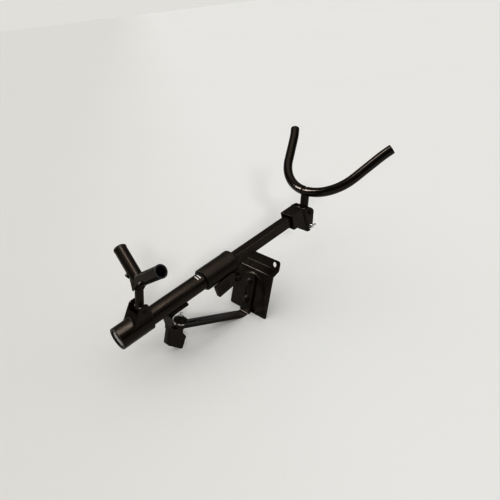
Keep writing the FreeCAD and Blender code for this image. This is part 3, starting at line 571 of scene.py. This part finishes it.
def turned(bm, outline, start=0.0, end=360.0, steps=72):
    """Turns a closed outline of (along, radius) about the beam's axis, in degrees from SIDE towards ABOVE."""
    full = end - start >= 360.0
    rings = []
    for i in range(steps if full else steps + 1):
        a = math.radians(start + (end - start) * i / steps)
        outward = SIDE * math.cos(a) + ABOVE * math.sin(a)
        rings.append([bm.verts.new(beam(s, 0.0) + outward * (r * MM)) for s, r in outline])
    pairs = list(zip(rings, rings[1:]))
    if full:
        pairs.append((rings[-1], rings[0]))
    else:
        bm.faces.new(rings[0])
        bm.faces.new(rings[-1])
    for a, b in pairs:
        for k in range(len(outline)):
            n = (k + 1) % len(outline)
            bm.faces.new((a[k], a[n], b[n], b[k]))


def tube_marks():
    """Plain pair of printed bars round the tube below the clamp sleeve."""
    inner, edge, outer = TUBE_R - 0.04, TUBE_R + 0.05, TUBE_R + 0.08
    bm = bmesh.new()
    for s in (171.0, 176.2):
        outline = (
            (s, inner), (s, edge), (s + 0.2, outer), (s + 2.4, outer), (s + 2.6, edge), (s + 2.6, inner))
        turned(bm, outline, MARK_START, MARK_END, 24)
    new_object("tube_marks", bm, PRINT, "beam")


def plug_painted_shade():
    """Dished dark grey disc over the end plug's floor: painted shade in the plug's recess."""
    bm = bmesh.new()
    dome(bm, beam(0.0, 0.0) + ALONG * 6.75 * MM, -ALONG, 16.3 * MM, 0.9 * MM, 6, 64)
    new_object("plug_painted_shade", bm, PAINTED_SHADE_GREY, "beam")


def plug_rim():
    """Black ring round the mouth of the end plug, turned from a closed outline of (along, radius)."""
    outline = (
        (0.25, 17.8), (0.1, 16.6), (0.3, 15.5), (0.9, 15.1),
        (2.4, 15.1), (2.6, 16.4), (0.85, 16.4), (0.8, 17.8))
    bm = bmesh.new()
    turned(bm, outline)
    new_object("plug_rim", bm, MATERIALS["black_plastic"], "beam")


lever_ridges()
pin_dots()
plug_painted_shade()
plug_rim()
tube_marks()


# ---------------------------------------------------------------- camera, light and floor
CAMERA_AT = Vector((0.7587, -0.8079, 0.2939))
CAMERA_AZIMUTH = 44.54
CAMERA_ELEVATION = 14.13
CAMERA_ROLL = 9.77
LENS = 42.43


def make_camera():
    """Sets the camera up and gives its right, top and back directions."""
    a = math.radians(CAMERA_AZIMUTH)
    e = math.radians(CAMERA_ELEVATION)
    roll = math.radians(CAMERA_ROLL)
    back = Vector((math.sin(a) * math.cos(e), -math.cos(a) * math.cos(e), math.sin(e)))
    level = Vector((math.cos(a), math.sin(a), 0))
    up = back.cross(level)
    right = level * math.cos(roll) + up * math.sin(roll)
    top = up * math.cos(roll) - level * math.sin(roll)
    data = bpy.data.cameras.new("camera")
    data.lens = LENS
    data.sensor_width = 36.0
    data.shift_y = -0.002
    data.clip_start = 0.01
    data.clip_end = 50
    camera = bpy.data.objects.new("camera", data)
    bpy.context.scene.collection.objects.link(camera)
    camera.matrix_world = Matrix((
        (right.x, top.x, back.x, CAMERA_AT.x),
        (right.y, top.y, back.y, CAMERA_AT.y),
        (right.z, top.z, back.z, CAMERA_AT.z),
        (0, 0, 0, 1),
    ))
    bpy.context.scene.camera = camera
    return right, top, back


WORLD_LEVEL = 0.775
FAR_WALL = 0.5
BACKDROP = (0.81, 0.804, 0.78)
RIGHT, TOP, BACK = make_camera()

# The table is the plane that the plate's lower edge and the swivel bracket's lowest corner stand on.
plate_low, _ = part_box("wall_plate")
bracket_low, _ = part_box("swivel_bracket")
BRACKET_CONTACT_Y = -0.176
FLOOR_CONTACT = Vector((0, plate_low.y, plate_low.z))
FRONT_CONTACT = Vector((0, BRACKET_CONTACT_Y, bracket_low.z))
FLOOR_ALONG = (FLOOR_CONTACT - FRONT_CONTACT).normalized()
FLOOR_NORMAL = SIDE.cross(FLOOR_ALONG).normalized()


def make_floor():
    """Matt pale table with painted shade that darkens it a little towards the left; it can be looked through from
    below.
    """
    half = 7.0
    gap = 0.0004
    g = Graph("floor")
    colour = g.ramp(g.noise(2.0, 2.0), [(0.3, (0.858, 0.855, 0.842)), (0.7, (0.864, 0.861, 0.848))])
    # painted shade: the floor's colour darkens towards the left
    leftward = g.add("ShaderNodeVectorMath", operation="DOT_PRODUCT")
    leftward.inputs[1].default_value = BACK * 0.2 - RIGHT
    g.link(g.coords, leftward.inputs[0])
    painted_shade = g.add("ShaderNodeMapRange", interpolation_type="SMOOTHSTEP")
    for name, value in (("From Min", -0.15), ("From Max", 0.6), ("To Min", 0.0), ("To Max", 0.17)):
        painted_shade.inputs[name].default_value = value
    g.link(leftward.outputs["Value"], painted_shade.inputs["Value"])
    colour = g.mix(painted_shade.outputs["Result"], colour, (0.5, 0.46, 0.38))
    g.finish(colour, g.remap(g.noise(40.0, 3.0), 0.85, 0.9), g.bump(g.noise(400.0, 2.0), 0.00002, 0.2))
    g.shader.inputs["Specular IOR Level"].default_value = 0.0
    through = g.add("ShaderNodeBsdfTransparent")
    mix = g.add("ShaderNodeMixShader")
    g.link(g.add("ShaderNodeNewGeometry").outputs["Backfacing"], mix.inputs["Fac"])
    g.link(g.shader.outputs["BSDF"], mix.inputs[1])
    g.link(through.outputs["BSDF"], mix.inputs[2])
    g.link(mix.outputs["Shader"], g.tree.nodes["Material Output"].inputs["Surface"])
    bm = bmesh.new()
    corners = []
    for x, t in ((-half, -half), (half, -half), (half, half), (-half, half)):
        corners.append(bm.verts.new(FLOOR_CONTACT + SIDE * x + FLOOR_ALONG * t - FLOOR_NORMAL * gap))
    face = bm.faces.new(corners)
    face.normal_update()
    if face.normal.dot(FLOOR_NORMAL) < 0:
        face.normal_flip()
    mesh = bpy.data.meshes.new("floor")
    bm.to_mesh(mesh)
    bm.free()
    floor = bpy.data.objects.new("floor", mesh)
    bpy.context.scene.collection.objects.link(floor)
    floor.data.materials.append(g.material)


def add_light(data, name, toward):
    light = bpy.data.objects.new(name, data)
    bpy.context.scene.collection.objects.link(light)
    light.rotation_mode = "QUATERNION"
    light.rotation_quaternion = toward.to_track_quat("-Z", "Y")
    return light


def area_light(name, place, target, size, power):
    """Softbox that only shows as a reflection, so the floor stays even."""
    data = bpy.data.lights.new(name, "AREA")
    data.shape = "RECTANGLE"
    data.size, data.size_y = size
    data.energy = power
    light = add_light(data, name, target - place)
    light.location = place
    light.visible_diffuse = False


def sun(name, source, power, spread):
    """Distant soft light from the given direction; it doesn't show as a reflection."""
    data = bpy.data.lights.new(name, "SUN")
    data.energy = power
    data.angle = math.radians(spread)
    light = add_light(data, name, -source)
    light.visible_glossy = False


def make_world():
    """Even room for the floor, a bright ceiling and far wall for reflections, a plain backdrop behind."""
    world = bpy.data.worlds.new("studio")
    bpy.context.scene.world = world
    world.use_nodes = True
    tree = world.node_tree
    tree.nodes.clear()
    coords = tree.nodes.new("ShaderNodeTexCoord")
    dot = tree.nodes.new("ShaderNodeVectorMath")
    dot.operation = "DOT_PRODUCT"
    dot.inputs[1].default_value = FLOOR_NORMAL
    tree.links.new(coords.outputs["Generated"], dot.inputs[0])
    ramp = tree.nodes.new("ShaderNodeValToRGB")
    elements = ramp.color_ramp.elements
    stops = [(0.0, 0.03), (0.5, 0.06), (0.72, 0.25), (0.85, 1.0), (1.0, 1.8)]
    while len(elements) < len(stops):
        elements.new(0.5)
    for element, (place, value) in zip(elements, stops):
        element.position = place
        element.color = (value, value * 0.9, value * 0.82, 1)
    tree.links.new(dot.outputs["Value"], ramp.inputs["Fac"])
    path = tree.nodes.new("ShaderNodeLightPath")
    output = tree.nodes.new("ShaderNodeOutputWorld")

    def background(colour, strength=1.0):
        node = tree.nodes.new("ShaderNodeBackground")
        if isinstance(colour, tuple):
            node.inputs["Color"].default_value = (*colour, 1)
        else:
            tree.links.new(colour, node.inputs["Color"])
        node.inputs["Strength"].default_value = strength
        return node.outputs["Background"]

    def choose(factor, otherwise, chosen):
        node = tree.nodes.new("ShaderNodeMixShader")
        tree.links.new(factor, node.inputs["Fac"])
        tree.links.new(otherwise, node.inputs[1])
        tree.links.new(chosen, node.inputs[2])
        return node.outputs["Shader"]

    away = tree.nodes.new("ShaderNodeVectorMath")
    away.operation = "DOT_PRODUCT"
    away.inputs[1].default_value = -BACK
    tree.links.new(coords.outputs["Generated"], away.inputs[0])
    far_wall = tree.nodes.new("ShaderNodeMapRange")
    far_wall.inputs["From Min"].default_value = 0.2
    far_wall.inputs["To Max"].default_value = FAR_WALL
    tree.links.new(away.outputs["Value"], far_wall.inputs["Value"])
    both = tree.nodes.new("ShaderNodeVectorMath")
    both.operation = "ADD"
    tree.links.new(ramp.outputs["Color"], both.inputs[0])
    tree.links.new(far_wall.outputs["Result"], both.inputs[1])
    even = background((1.0, 0.996, 0.981), WORLD_LEVEL)
    mirrored_room = background(both.outputs["Vector"])
    seen = background(BACKDROP)
    lit = choose(path.outputs["Is Glossy Ray"], even, mirrored_room)
    tree.links.new(choose(path.outputs["Is Camera Ray"], lit, seen), output.inputs["Surface"])


make_floor()
make_world()
CENTRE = (CAD_LOW + CAD_HIGH) / 2
area_light("softbox_top", CENTRE + FLOOR_NORMAL * 1.6 + BACK * 0.3, CENTRE, (1.8, 0.3), 25.0)
area_light("softbox_right", CENTRE + FLOOR_NORMAL * 1.1 + RIGHT * 1.3 + BACK * 0.4, CENTRE, (0.3, 0.5), 7.0)
area_light("softbox_left", CENTRE + FLOOR_NORMAL * 0.9 - RIGHT * 1.2 - BACK * 0.3, CENTRE, (0.45, 0.8), 24.0)
sun("key", BACK + RIGHT * 0.1, 1.2, 7.0)
sun("fill", BACK - RIGHT * 0.25 + TOP * 0.3, 0.2, 20.0)
bpy.context.scene.view_settings.view_transform = "Standard"
bpy.context.scene.view_settings.gamma = 0.72      # deep blacks, as in a contrasty product picture
